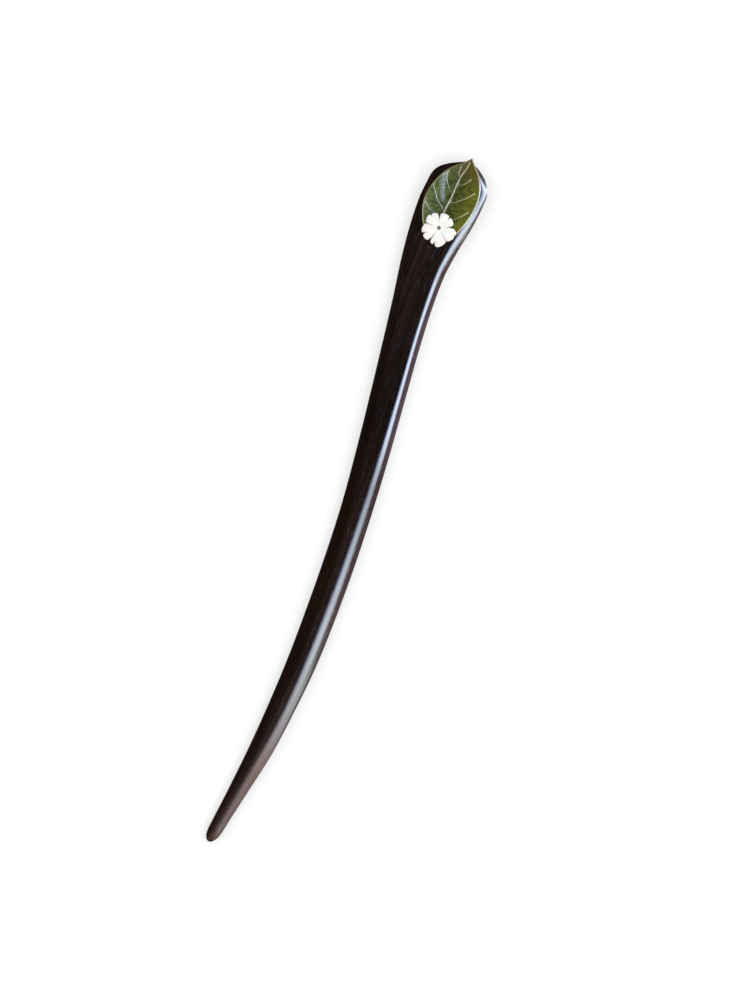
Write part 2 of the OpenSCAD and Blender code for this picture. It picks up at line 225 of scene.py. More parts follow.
def skin(name, rings, first, last):
    """Closed smooth mesh over rings of points, shape (rings, points, 3), with a pole at each end."""
    count, around = rings.shape[:2]
    points = np.vstack([[first], rings.reshape(-1, 3), [last]]) * MM
    i, k = np.meshgrid(np.arange(count - 1), np.arange(around), indexing="ij")
    a = 1 + i * around + k
    b = 1 + i * around + (k + 1) % around
    quads = np.stack([a, a + around, b + around, b], axis=-1).reshape(-1, 4).tolist()
    k = np.arange(around)
    end = 1 + count * around
    heads = np.stack([np.zeros_like(k), 1 + k, 1 + (k + 1) % around], axis=-1).tolist()
    tails = np.stack([np.full_like(k, end), end - around + (k + 1) % around, end - around + k], axis=-1)
    piece = new_object(name, points, quads + heads + tails.tolist())
    piece.data.shade_smooth()
    return piece


def mark(piece, name, values):
    """Stores one number for each vertex, for the piece's material to read."""
    numbers = np.ascontiguousarray(values, np.float32)
    piece.data.attributes.new(name, "FLOAT", "POINT").data.foreach_set("value", numbers)


# Shape of the stick
CROWN_START = STICK_LENGTH - CROWN_LENGTH


def section(x, column):
    return curve(SECTIONS, column, x / STICK_LENGTH)


def middle(x):
    return -BOW * section(x, SECTION_BOW)


def crown(x):
    way = np.maximum(0.0, x - CROWN_START) / CROWN_LENGTH
    return 1.0 - way**CROWN_POWER


def half_width(x):
    drawn_in = np.maximum(0.0, section(x, SECTION_TIP))
    plain = mix(mix(SHAFT_W, TIP_W, drawn_in), HEAD_W, section(x, SECTION_FLARE))
    return plain / 2 * rounding(x, TIP_ROUND) * crown(x)


def underside(x):
    return (
        TIP_LIFT * np.maximum(0.0, section(x, SECTION_TIP)) ** 2
        + BACK_RISE * section(x, SECTION_BACK)
        - BACK_FLAT
    )


def topside(x):
    return mix(STOCK_T, TIP_T + TIP_LIFT, np.maximum(0.0, section(x, SECTION_TIP)))


def widest_line(x):
    return mix(topside(x), underside(x), section(x, SECTION_BROW))


def face_flat(x):
    return np.maximum(MIN_FLAT, 1 - (1 - section(x, SECTION_FLAT)) / np.maximum(MIN_FLAT, crown(x)))


def keel_flat(x):
    return mix(face_flat(x), np.minimum(face_flat(x), KEEL_FLAT), section(x, SECTION_BACK))


def bent(value, bend):
    return np.sign(value) * np.abs(value) ** bend


def stick_stations():
    """Places of the stick's rings, crowding towards both of its ends."""
    tip_steps, shaft_steps, crown_steps = 24, 320, 48
    tip = TIP_ROUND * (1 - np.cos(np.linspace(0, np.pi / 2, tip_steps + 1)[1:]))
    shaft = np.linspace(TIP_ROUND, CROWN_START, shaft_steps + 1)[1:]
    end = mix(CROWN_START, STICK_LENGTH, np.sin(np.linspace(0, np.pi / 2, crown_steps + 1)[1:-1]))
    return np.concatenate([tip, shaft, end])


# Middle of the footprint, where the frame's origin is
ALL_STATIONS = stick_stations()
LEFT_EDGE = np.max(middle(ALL_STATIONS) + half_width(ALL_STATIONS))
RIGHT_EDGE = np.min(middle(ALL_STATIONS) - half_width(ALL_STATIONS))
ORIGIN = np.array([(STICK_LENGTH + LEAF_OVERHANG) / 2, (LEFT_EDGE + RIGHT_EDGE) / 2, 0.0])


def section_corner(x, first_turn, side, back):
    """Points of one rounded corner of the sections at x, and of the flat that runs on from it."""
    corner_steps, flat_steps = 18, 8
    half, z = half_width(x), widest_line(x)
    flat = half * (keel_flat(x) if back else face_flat(x))
    reach = z - underside(x) if back else topside(x) - z
    closing = rounding(STICK_LENGTH - x, KEEL_ROUND if back else END_ROUND)
    reach = reach * rounding(x, TIP_ROUND) * closing
    turn = np.radians(first_turn + np.linspace(0, 90, corner_steps + 1))[None, :]
    bend = 1.0 if back else 2 / mix(2, BEVEL_POWER, section(x, SECTION_FLAT))
    y = middle(x) + side * flat + (half - flat) * bent(np.cos(turn), bend)
    height = z - reach * bent(np.sin(turn), bend)
    if side * first_turn in (0, -180):
        # From this corner a flat crosses to the next one
        share = np.linspace(0, 1, flat_steps + 1)[None, 1:-1]
        y = np.concatenate([y, middle(x) + side * flat * (1 - 2 * share)], axis=1)
        height = np.concatenate([height, height[:, -1:] + 0 * share], axis=1)
    return y, height


def make_stick():
    x = ALL_STATIONS[:, None]
    corners = [
        section_corner(x, 0, 1, True),
        section_corner(x, 90, -1, True),
        section_corner(x, 180, -1, False),
        section_corner(x, 270, 1, False),
    ]
    y = np.concatenate([corner[0] for corner in corners], axis=1)
    z = np.maximum(0.0, np.concatenate([corner[1] for corner in corners], axis=1))
    rings = np.stack([x + 0 * y, y, z], axis=-1) - ORIGIN
    ends = [np.array([e, middle(e), widest_line(e)]) - ORIGIN for e in (0.0, STICK_LENGTH)]
    return skin("stick_wood", rings, ends[0], ends[1])


# Shape of the leaf, in its own frame: X from its foot to its point, Z up from its underside
def leaf_at(t, column):
    return LEAF_W * curve(OUTLINE, column, t) * rounding(t, FOOT_ROUND)


def raised(t):
    """How far the rim is raised at a place along the leaf, in full where the leaf is widest."""
    return (leaf_at(t, LEFT) + leaf_at(t, RIGHT)) / LEAF_W


def rim_height(x):
    return LEAF_T + DISH_RISE * raised(np.asarray(x / LEAF_LENGTH))


def to_frame(points):
    """Moves points from the leaf's own frame to where the leaf lies on the head."""
    turn = math.radians(-LEAF_TURN)
    c, s = math.cos(turn), math.sin(turn)
    rotated = (points - [LEAF_LENGTH, 0, 0]) @ np.array([[c, s, 0], [-s, c, 0], [0, 0, 1]])
    place = [STICK_LENGTH + LEAF_OVERHANG, -LEAF_SIDE, STOCK_T + GLUE_GAP]
    return rotated + place - ORIGIN


# Engraved lines of the leaf: points in the leaf's own frame, the width at the start and at the end
# of the line, how pale it is there, and the shares of a full vein's depth and puffed sides
VEINS = {
    "right_1": (
        [(14.9, 0.0), (15.6, -0.8), (16.5, -1.5), (17.3, -1.9)],
        (0.17, 0.32), (0.40, 0.90), 1.0, 1.0,
    ),
    "right_2": (
        [(10.2, 0.2), (10.7, -0.7), (11.6, -1.7), (12.8, -2.95), (13.7, -3.6), (14.6, -4.2)],
        (0.18, 0.32), (0.35, 0.90), 1.0, 1.0,
    ),
    "right_3": (
        [(6.0, -1.2), (6.95, -2.4), (7.9, -3.4), (8.8, -4.1), (9.8, -4.7)],
        (0.20, 0.30), (0.40, 0.80), 1.0, 1.0,
    ),
    "left_1": (
        [(12.4, 1.2), (13.3, 2.1), (14.2, 2.9), (15.3, 3.6), (16.3, 3.95), (17.1, 4.0)],
        (0.14, 0.26), (0.12, 0.56), 0.7, 0.4,
    ),
    "left_2": (
        [(7.9, 0.9), (8.9, 2.65), (9.9, 3.85), (11.0, 4.7), (12.0, 5.5), (12.9, 6.2)],
        (0.16, 0.24), (0.25, 0.40), 0.6, 0.3,
    ),
    "left_3": (
        [(17.0, 1.05), (17.8, 1.5), (18.7, 1.6), (19.5, 1.6)],
        (0.14, 0.18), (0.15, 0.35), 0.6, 0.0,
    ),
    "left_4": (
        [(5.6, 1.6), (6.3, 3.1), (6.7, 4.3), (7.1, 5.1), (7.8, 5.8)],
        (0.16, 0.24), (0.20, 0.45), 0.8, 0.5,
    ),
    # A soft fold with no line cut in it
    "fold": (
        [(11.0, 1.9), (12.5, 2.5), (14.2, 3.1), (15.8, 3.7)],
        (0.14, 0.14), (0.0, 0.0), 0.0, 1.35,
    ),
}
MIDRIB_W = (0.36, 0.26)
MIDRIB_PALE = (0.95, 1.0)
MIDRIB_DEPTH = 1.25
MIDRIB_PUFF = 0.1
MIDRIB_ENDS = (0.05, 0.945)


def midrib_line():
    """The midrib as an engraved line, from under the flower to just short of the leaf's point."""
    t = np.linspace(*MIDRIB_ENDS, 13)
    points = list(zip(LEAF_LENGTH * t, leaf_at(t, MIDRIB)))
    return points, MIDRIB_W, MIDRIB_PALE, MIDRIB_DEPTH, MIDRIB_PUFF


def fine_line(points, count=90):
    """Smooth line through a few points, with how far along each of its points is."""
    points = np.array(points, float)
    way = np.linspace(0, 1, len(points))
    table = np.column_stack([way, points])
    t = np.linspace(0, 1, count)
    return np.column_stack([curve(table, 1, t), curve(table, 2, t)]), t


def engraving(x, y):
    """Depth and paleness of the engraved lines at each point of the leaf's face, and how far the
    face sinks from its puffed sides towards them."""
    spots = np.column_stack([x.ravel(), y.ravel()])
    rib = leaf_at(spots[:, 0] / LEAF_LENGTH, MIDRIB)
    depth, pale, sunk = np.zeros(len(spots)), np.zeros(len(spots)), np.zeros(len(spots))
    for points, widths, pales, share, puff in [midrib_line(), *VEINS.values()]:
        line, t = fine_line(points)
        gaps = np.linalg.norm(spots[:, None, :] - line[None, :, :], axis=2)
        near = gaps.argmin(axis=1)
        gap = gaps[np.arange(len(spots)), near]
        width = mix(*widths, t[near])
        groove = np.clip(1 - gap / (GROOVE_REACH * width), 0, 1) ** GROOVE_BLUNTNESS
        depth = np.maximum(depth, share * VEIN_DEPTH * groove)
        shown = smooth_step(GROOVE_REACH * width, GROOVE_REACH * width / 2, gap)
        pale = np.maximum(pale, mix(*pales, t[near] ** 2) * shown)
        side = np.sign(line[:, 1].mean() - leaf_at(0.5, MIDRIB))
        own = smooth_step(0.0, 0.5, side * (spots[:, 1] - rib))
        sunk = np.maximum(sunk, puff * own * np.exp(-((gap / PUFF_REACH) ** 2)))
    return depth.reshape(x.shape), pale.reshape(x.shape), PUFF_RISE * sunk.reshape(x.shape)


def outline_gap(spots):
    """How far each point of the leaf lies in from its outline."""
    t = np.concatenate([0.10 * np.linspace(0, 1, 60) ** 2, np.linspace(0.1, 1, 360)[1:]])
    left = np.column_stack([LEAF_LENGTH * t, leaf_at(t, LEFT)])
    right = np.column_stack([LEAF_LENGTH * t, -leaf_at(t, RIGHT)])
    gap = np.full(len(spots), LEAF_LENGTH)
    for part in np.array_split(np.concatenate([left, right]), 8):
        gap = np.minimum(gap, np.linalg.norm(spots[:, None, :] - part[None, :, :], axis=2).min(axis=1))
    return gap


def leaf_grid():
    """Points of the leaf's face in rows and columns, and the side of the midrib of each column. Rows
    crowd towards the leaf's foot and point, and columns towards its edges."""
    foot_end, point_start, last_row, edge_start = 0.10, 0.90, 0.9995, 0.86
    t = np.concatenate([
        foot_end * np.linspace(0, 1, 31)[1:] ** 2,
        np.linspace(foot_end, point_start, 261)[1:],
        np.linspace(point_start, last_row, 41)[1:],
    ])[:, None]
    half = np.concatenate([
        np.linspace(0, edge_start, 52)[:-1],
        mix(edge_start, 1.0, np.sin(np.linspace(0, np.pi / 2, 17))),
    ])
    way = np.concatenate([half[::-1], half[1:]])[None, :]
    side = np.concatenate([-np.ones(len(half)), np.ones(len(half) - 1)])[None, :]
    # Each row leaves the midrib at t and runs forward to the edge at e, as a vein does
    e = t + VEIN_SLANT * np.sin(np.pi * t)
    x = LEAF_LENGTH * mix(t, e, way**VEIN_CURVE)
    rib = leaf_at(t, MIDRIB)
    edge = np.where(side > 0, leaf_at(e, LEFT), -leaf_at(e, RIGHT))
    return x, rib + (edge - rib) * way, side


def make_leaf():
    x, y, side = leaf_grid()
    inset = outline_gap(np.column_stack([x.ravel(), y.ravel()])).reshape(y.shape)
    inset[:, [0, -1]] = 0.0
    depth, pale, sunk = engraving(x, y)
    # The face rises straight from the midrib to the rim, as measured square to the leaf's axis
    here = x / LEAF_LENGTH
    rib_here = leaf_at(here, MIDRIB)
    rim_here = np.where(side > 0, leaf_at(here, LEFT), -leaf_at(here, RIGHT))
    share = np.clip((y - rib_here) / (rim_here - rib_here), 0, 1)
    bevel = np.clip(BEVEL_W - inset, 0, BEVEL_W)
    inner = smooth_step(*RELIEF_FADE, inset)
    top = LEAF_T + DISH_RISE * raised(here) * share - bevel
    top = top - (depth + sunk * raised(here)) * inner
    face = np.stack([x, y, top], axis=-1)
    # The underside runs back from the left edge to the right one
    back_way = np.linspace(1, 0, 9)[None, :]
    under_x = mix(x[:, :1], x[:, -1:], back_way)
    under_y = mix(y[:, :1], y[:, -1:], back_way)
    under = np.stack([under_x, under_y, 0 * under_y], axis=-1)
    rings = np.concatenate([face, under], axis=1)
    pole_z = (LEAF_T - BEVEL_W) / 2
    piece = skin(
        "leaf_stone",
        to_frame(rings.reshape(-1, 3)).reshape(rings.shape),
        to_frame(np.array([[0, 0, pole_z]]))[0],
        to_frame(np.array([[LEAF_LENGTH, 0, pole_z]]))[0],
    )

    def over_all(values, below, ends):
        shown = np.broadcast_to(values, y.shape)
        joined = np.concatenate([shown, np.full(under.shape[:2], float(below))], axis=1)
        return np.concatenate([[ends[0]], joined.ravel(), [ends[1]]])

    # The rim mask carries the bevel's pale ground, which the material paints paler on the right side as a
    # highlight
    rim = smooth_step(BEVEL_W * RIM_FADE[0], BEVEL_W * RIM_FADE[1], inset)
    mark(piece, "vein", over_all(pale, 0, (0, 0)))
    mark(piece, "rim", over_all(rim, 0, (1, 1)))
    mark(piece, "across", over_all(side * share, 0, (0, 0)))
    mark(piece, "along", over_all(here, 0, (0, 1)))
    return piece


# Shape of the flower
def lobe_reach(i, angle):
    """Reach of one lobe of the flower: a rounded hill, less the cuts on both sides of it."""
    cut_at, beside, depth, spread, top_at, top = LOBES[i]
    next_at, next_beside, next_depth, next_spread = LOBES[(i + 1) % len(LOBES)][:4]
    next_at = next_at + 360 if i + 1 == len(LOBES) else next_at
    after, before = angle - cut_at, next_at - angle
    way = np.where(angle < top_at, after / (top_at - cut_at), before / (next_at - top_at))
    low = np.where(angle < top_at, beside, next_beside)
    hill = mix(low, top, 1 - np.clip(1 - way, 0, 1) ** LOBE_FULLNESS)
    hill = hill - depth * np.clip(1 - after / spread, 0, 1) ** CUT_SHARPNESS
    return hill - next_depth * np.clip(1 - before / next_spread, 0, 1) ** CUT_SHARPNESS


def flower_directions():
    """Angle, reach, crease depth and painted crease shade of each direction, crowding towards the cuts."""
    angles, reaches, creases, shades = [], [], [], []
    for i, row in enumerate(LOBES):
        start, end = row[0], LOBES[i + 1][0] if i + 1 < len(LOBES) else LOBES[0][0] + 360
        angle = mix(start, end, (1 - np.cos(np.linspace(0, np.pi, 57)[:-1])) / 2)
        from_cleft = angle - start if i % 2 == 0 else end - angle
        angles.append(angle)
        reaches.append(lobe_reach(i, angle))
        creases.append(np.exp(-((from_cleft / CREASE_SPREAD) ** 2)))
        shades.append(creases[-1] * CREASE_SHADES[(i + 1) // 2 % len(CREASE_SHADES)])
    return [np.concatenate(rows) for rows in (angles, reaches, creases, shades)]


def flower_seat():
    """Turn and place of the flower, which lies across the leaf's raised rim."""
    step = 0.1
    rise = float(rim_height(FLOWER_ALONG + step) - rim_height(FLOWER_ALONG - step))
    place = [FLOWER_ALONG, FLOWER_SIDE, float(rim_height(FLOWER_ALONG)) + GLUE_GAP]
    return np.array(Matrix.Rotation(-math.atan(rise / (2 * step)), 3, "Y")), place


def make_flower():
    angles, reach, crease, shade = flower_directions()
    reach = reach * FLOWER_R
    turn = np.radians(angles)
    cup = FLOWER_T - CUP_DEPTH
    hole, ring = HOLE_D / 2, RING_D / 2
    rings, creases = [], []

    # Each ring also carries the painted shade of its creases, of the hole's wall and of the ring's inner
    # side
    def add(radius, z, painted_shade_here=0.0):
        rings.append(np.stack([radius * np.cos(turn), radius * np.sin(turn), z + 0 * turn], axis=-1))
        creases.append(painted_shade_here + 0 * turn)

    # Up the wall of the drilled hole, over the raised ring, and out over the petals
    for share in np.linspace(0, 1, 7):
        add(hole + 0 * turn, (cup + RING_LIP * RING_RISE) * share, HOLE_SHADE)
    for share in np.linspace(0, 1, 9)[1:]:
        lift = RING_RISE * np.sin(np.pi * mix(RING_START, 1.0, share)) ** RING_BLUNTNESS
        add(mix(hole, ring, share) + 0 * turn, cup + lift, RING_SHADE * (1 - share) ** 2)
    edge_start = 0.86
    inner_ways = np.linspace(0, edge_start, 30)[1:]
    outer_ways = mix(edge_start, 1.0, np.sin(np.linspace(0, np.pi / 2, 12)[1:]))
    for way in np.concatenate([inner_ways, outer_ways]):
        puff = mix(PETAL_EDGE_T, FLOWER_T, (1 - way**PETAL_SQUARENESS) ** PETAL_BLUNTNESS)
        sunk = CREASE_DEPTH * crease * (1 - (2 * way - 1) ** PETAL_SQUARENESS)
        add(mix(ring, reach, way), puff - CUP_DEPTH * (1 - way) ** 2 - sunk, shade * way**0.3)
    # Down the petals' edge, and back over the flat underside to the hole
    edge_z = rings[-1][:, 2]
    for share in np.linspace(0, 1, 6)[1:]:
        add(reach - EDGE_TUCK * share**3, edge_z * (1 - share))
    for share in (0.66, 0.33):
        add(mix(hole, reach - EDGE_TUCK, share), 0.0)
    shape = np.array(rings)

    tilt, seat = flower_seat()
    placed = to_frame(shape.reshape(-1, 3) @ tilt.T + seat)
    count, around = shape.shape[:2]
    i, k = np.meshgrid(np.arange(count), np.arange(around), indexing="ij")
    a, b = i * around + k, i * around + (k + 1) % around
    c, d = ((i + 1) % count) * around + (k + 1) % around, ((i + 1) % count) * around + k
    quads = np.stack([d, c, b, a], axis=-1).reshape(-1, 4).tolist()
    piece = new_object("flower_shell", placed * MM, quads)
    piece.data.shade_smooth()
    # The crease attribute holds that painted shade, for the shell's colour
    mark(piece, "crease", np.array(creases).ravel())
    return piece


# Materials
class Nodes:
    """Short names for building one material's node tree."""

    def __init__(self, name):
        self.material = bpy.data.materials.new(name)
        self.material.use_nodes = True
        self.tree = self.material.node_tree
        self.shader = self.tree.nodes["Principled BSDF"]

    def add(self, kind, **settings):
        node = self.tree.nodes.new(kind)
        for name, value in settings.items():
            setattr(node, name, value)
        return node

    def link(self, source, target):
        self.tree.links.new(source, target)

    def put(self, target, value):
        if isinstance(value, bpy.types.NodeSocket):
            self.link(value, target)
        else:
            target.default_value = value

    def place(self, scale):
        """Object coordinates, stretched by scale, which counts repeats in a metre."""
        mapping = self.add("ShaderNodeMapping")
        mapping.inputs["Scale"].default_value = scale
        self.link(self.add("ShaderNodeTexCoord").outputs["Object"], mapping.inputs["Vector"])
        return mapping.outputs["Vector"]

    def noise(self, scale, detail=4.0, roughness=0.55, distortion=0.0):
        node = self.add("ShaderNodeTexNoise")
        self.link(self.place(scale), node.inputs["Vector"])
        node.inputs["Scale"].default_value = 1.0
        node.inputs["Detail"].default_value = detail
        node.inputs["Roughness"].default_value = roughness
        node.inputs["Distortion"].default_value = distortion
        return node.outputs["Fac"]

    def attribute(self, name):
        return self.add("ShaderNodeAttribute", attribute_name=name).outputs["Fac"]

    def ramp(self, value, stops):
        node = self.add("ShaderNodeValToRGB")
        ramp = node.color_ramp
        while len(ramp.elements) < len(stops):
            ramp.elements.new(0.5)
        for element, (at, colour) in zip(ramp.elements, stops):
            element.position = at
            element.color = (*colour, 1.0)
        self.link(value, node.inputs["Fac"])
        return node.outputs["Color"]

    def span(self, value, low, high, to_low=0.0, to_high=1.0):
        node = self.add("ShaderNodeMapRange", interpolation_type="SMOOTHSTEP")
        for name, number in (("From Min", low), ("From Max", high), ("To Min", to_low), ("To Max", to_high)):
            node.inputs[name].default_value = number
        self.link(value, node.inputs["Value"])
        return node.outputs["Result"]

    def math(self, operation, a, b):
        node = self.add("ShaderNodeMath", operation=operation)
        self.put(node.inputs[0], a)
        self.put(node.inputs[1], b)
        return node.outputs["Value"]

    def blend(self, share, a, b, kind="MIX"):
        node = self.add("ShaderNodeMix", data_type="RGBA", blend_type=kind)
        self.put(node.inputs["Factor"], share)
        self.put(node.inputs[6], a if isinstance(a, bpy.types.NodeSocket) else (*a, 1.0))
        self.put(node.inputs[7], b if isinstance(b, bpy.types.NodeSocket) else (*b, 1.0))
        return node.outputs[2]

    def bump(self, height, strength, distance, after=None):
        node = self.add("ShaderNodeBump")
        node.inputs["Strength"].default_value = strength
        node.inputs["Distance"].default_value = distance
        self.link(height, node.inputs["Height"])
        if after is not None:
            self.link(after, node.inputs["Normal"])
        return node.outputs["Normal"]

    def set(self, **values):
        for name, value in values.items():
            self.put(self.shader.inputs[name.replace("_", " ")], value)


# Roughness and polish of the wood at shares of its length, from the tip to the head
WOOD_ROUGHNESS = [(0.02, 0.50), (0.10, 0.40), (0.19, 0.27), (0.30, 0.22), (0.55, 0.20), (0.65, 0.16)]
WOOD_POLISH = [(0.04, 0.10), (0.13, 0.35), (0.22, 0.55), (0.40, 0.44), (0.53, 0.05), (0.60, 0.90)]


def wood_material():
    n = Nodes("polished_ebony")
    # Grain runs along the stick: long soft streaks, finer fibres and short open pores
    streaks = n.noise((20.0, 2100.0, 2100.0), detail=4.0, roughness=0.66, distortion=0.05)
    fibres = n.noise((110.0, 4200.0, 4200.0), detail=3.0, roughness=0.7)
    pores = n.noise((420.0, 5200.0, 5200.0), detail=2.0, roughness=0.5)
    tone = n.math("ADD", n.math("MULTIPLY", streaks, 0.55), n.math("MULTIPLY", fibres, 0.45))
    colour = n.ramp(tone, [
        (0.36, (0.0020, 0.0011, 0.0009)),
        (0.47, (0.0060, 0.0032, 0.0025)),
        (0.56, (0.0195, 0.0090, 0.0062)),
        (0.67, (0.0430, 0.0200, 0.0140)),
    ])
    open_pores = n.span(pores, 0.60, 0.70)
    colour = n.blend(n.math("MULTIPLY", open_pores, 0.7), colour, (0.002, 0.0012, 0.001))
    # The head is the most polished, and the handled shaft grows duller to the worn tip. Towards the tip
    # its colour turns redder and lighter, partly from wear and partly as a painted warm sheen
    along = n.add("ShaderNodeSeparateXYZ")
    n.link(n.place((1.0 / STICK_LENGTH / MM, 1.0, 1.0)), along.inputs["Vector"])
    along = n.math("ADD", along.outputs["X"], 0.5)
    worn_and_sheen = n.blend(n.span(along, 0.52, 0.62), (0.0080, 0.0029, 0.0012), (0.0036, 0.0013, 0.0006))
    colour = n.blend(n.span(along, 0.84, 0.66, 0.0, 0.75), colour, worn_and_sheen)
    # The tip is painted a lighter brown, partly wear and partly a painted warm sheen
    colour = n.blend(n.span(along, 0.11, 0.02, 0.0, 0.8), colour, (0.015, 0.005, 0.002))
    rough = n.ramp(along, [(at, (value,) * 3) for at, value in WOOD_ROUGHNESS])
    rough = n.math("ADD", rough, n.math("MULTIPLY", n.math("SUBTRACT", fibres, 0.5), 0.14))
    polish = n.ramp(along, [(at, (value,) * 3) for at, value in WOOD_POLISH])
    normal = n.bump(fibres, 0.20, 0.00005)
    normal = n.bump(open_pores, 0.25, -0.00005, normal)
    n.set(Base_Color=colour, Roughness=rough, Normal=normal, IOR=1.5)
    n.set(Coat_Weight=polish, Coat_Roughness=0.14, Coat_IOR=1.5)
    return n.material


def leaf_material():
    n = Nodes("carved_green_stone")
    across, along = n.attribute("across"), n.attribute("along")
    cloud = n.noise((240.0, 240.0, 240.0), detail=4.0, roughness=0.6, distortion=0.5)
    mottle = n.noise((1250.0, 1250.0, 1250.0), detail=5.0, roughness=0.72, distortion=0.4)
    speck = n.noise((3800.0, 3800.0, 3800.0), detail=3.0, roughness=0.6)
    # From the right rim over the midrib to the left rim: yellow olive, dark olive, green. This is partly
    # the stone's own colour and partly painted light, with the right side painted brighter and yellower as
    # lit from there
    side = n.math("ADD", across, n.math("MULTIPLY", n.math("SUBTRACT", cloud, 0.5), 0.7))
    side = n.math("ADD", n.math("MULTIPLY", side, 0.5), 0.5)
    light = n.ramp(side, [
        (0.00, (0.150, 0.165, 0.014)),
        (0.22, (0.095, 0.110, 0.014)),
        (0.45, (0.062, 0.080, 0.017)),
        (0.66, (0.080, 0.115, 0.028)),
        (0.86, (0.118, 0.162, 0.040)),
        (1.00, (0.150, 0.170, 0.045)),
    ])
    dark = n.ramp(side, [
        (0.00, (0.105, 0.115, 0.010)),
        (0.25, (0.045, 0.052, 0.010)),
        (0.50, (0.024, 0.033, 0.009)),
        (0.80, (0.038, 0.056, 0.016)),
        (1.00, (0.070, 0.080, 0.025)),
    ])
    colour = n.blend(n.span(mottle, 0.42, 0.58), light, dark)
    grit = n.math("MULTIPLY", n.span(speck, 0.62, 0.72), 0.45)
    colour = n.blend(grit, colour, (0.020, 0.024, 0.008))
    flecks = n.math("MULTIPLY", n.span(speck, 0.40, 0.30), 0.30)
    colour = n.blend(flecks, colour, (0.200, 0.210, 0.070))
    cloudy_along = n.math("ADD", along, n.math("MULTIPLY", cloud, 0.16))
    tip = n.math("MULTIPLY", n.span(cloudy_along, 0.74, 1.02), 0.8)
    colour = n.blend(tip, colour, (0.098, 0.066, 0.012))
    # Engraved lines and the rim show the stone's pale ground surface; on the rim it is painted paler on the
    # right side as a painted highlight
    frost = n.math("ADD", 0.80, n.math("MULTIPLY", n.math("SUBTRACT", speck, 0.5), 1.4))
    engraved = n.math("MINIMUM", n.math("MULTIPLY", n.attribute("vein"), frost), 1.0)
    colour = n.blend(engraved, colour, (0.50, 0.47, 0.30))
    # Painted highlight: the rim is painted paler on the right side, and also paler towards the foot
    painted_highlight_right = n.span(across, 0.3, -0.6, 0.28, 0.95)
    paler_foot = n.span(along, 0.55, 0.30, 0.0, 0.75)
    rim_ground_and_highlight = n.math("MULTIPLY", n.attribute("rim"), n.math("MAXIMUM", painted_highlight_right, paler_foot))
    colour = n.blend(n.math("MULTIPLY", rim_ground_and_highlight, frost), colour, (0.56, 0.55, 0.36))
    # Under the flower's drilled hole the leaf's foot is painted pale, so that the hole looks lighter
    off_middle = n.math("ABSOLUTE", across, 0.0)
    pale_under_hole = n.math("MULTIPLY", n.span(along, 0.20, 0.18), n.span(off_middle, 0.30, 0.22))
    colour = n.blend(pale_under_hole, colour, (0.62, 0.55, 0.48))
    rough = n.math("ADD", 0.14, n.math("MULTIPLY", engraved, 0.45))
    rough = n.math("ADD", rough, n.math("MULTIPLY", n.math("SUBTRACT", mottle, 0.5), 0.20))
    normal = n.bump(mottle, 0.12, 0.00015)
    normal = n.bump(speck, 0.12, 0.00004, normal)
    n.set(Base_Color=colour, Roughness=rough, Normal=normal, IOR=1.58)
    return n.material


def shell_material():
    n = Nodes("mother_of_pearl")
    layers = n.noise((240.0, 620.0, 620.0), detail=4.0, roughness=0.55, distortion=1.4)
    play = n.noise((300.0, 300.0, 300.0), detail=2.0, roughness=0.5, distortion=0.8)
    colour = n.ramp(play, [
        (0.34, (0.74, 0.87, 0.81)),
        (0.45, (0.86, 0.88, 0.85)),
        (0.56, (0.88, 0.87, 0.82)),
        (0.68, (0.85, 0.81, 0.86)),
    ])
    colour = n.blend(n.math("MULTIPLY", n.span(layers, 0.5, 0.7), 0.25), colour, (0.78, 0.80, 0.74))
    # Painted shade darkens the petals' creases, the drilled hole's wall and the inner side of the raised
    # ring
    colour = n.blend(n.math("MULTIPLY", n.attribute("crease"), 0.95), colour, (0.20, 0.21, 0.19))
    normal = n.bump(layers, 0.08, 0.0001)
    n.set(Base_Color=colour, Roughness=0.24, Normal=normal, IOR=1.55)
    return n.material


def floor_material():
    n = Nodes("pale_floor")
    tone = n.noise((14.0, 14.0, 14.0), detail=3.0)
    colour = n.ramp(tone, [(0.3, (0.46, 0.46, 0.46)), (0.7, (0.48, 0.48, 0.48))])
    n.set(Base_Color=colour, Roughness=0.9, Specular_IOR_Level=0.1)
    n.set(Emission_Color=(1.0, 1.0, 1.0, 1.0), Emission_Strength=0.52)
    return n.material


def curtain_material():
    n = Nodes("curtain_light")
    emission = n.add("ShaderNodeEmission")
    n.link(n.add("ShaderNodeAttribute", attribute_name="glow").outputs["Color"], emission.inputs["Color"])
    n.link(emission.outputs["Emission"], n.tree.nodes["Material Output"].inputs["Surface"])
    n.tree.nodes.remove(n.shader)
    return n.material


# Stage
# Pixels of the photo on which the stick's two ends fall, the photo's size in pixels, the camera's
# lens and sensor in millimetres, and the height in millimetres that it draws at the photo's scale
TIP_PX = (209.2, 841.8)
HEAD_PX = (467.7, 160.8)
IMAGE_W, IMAGE_H = 750, 1000
LENS = 300.0
SENSOR = 36.0
PLANE_Z = 3.2
# The curtains, the floor and the lights are placed in metres
CURTAIN_REACH = 0.92
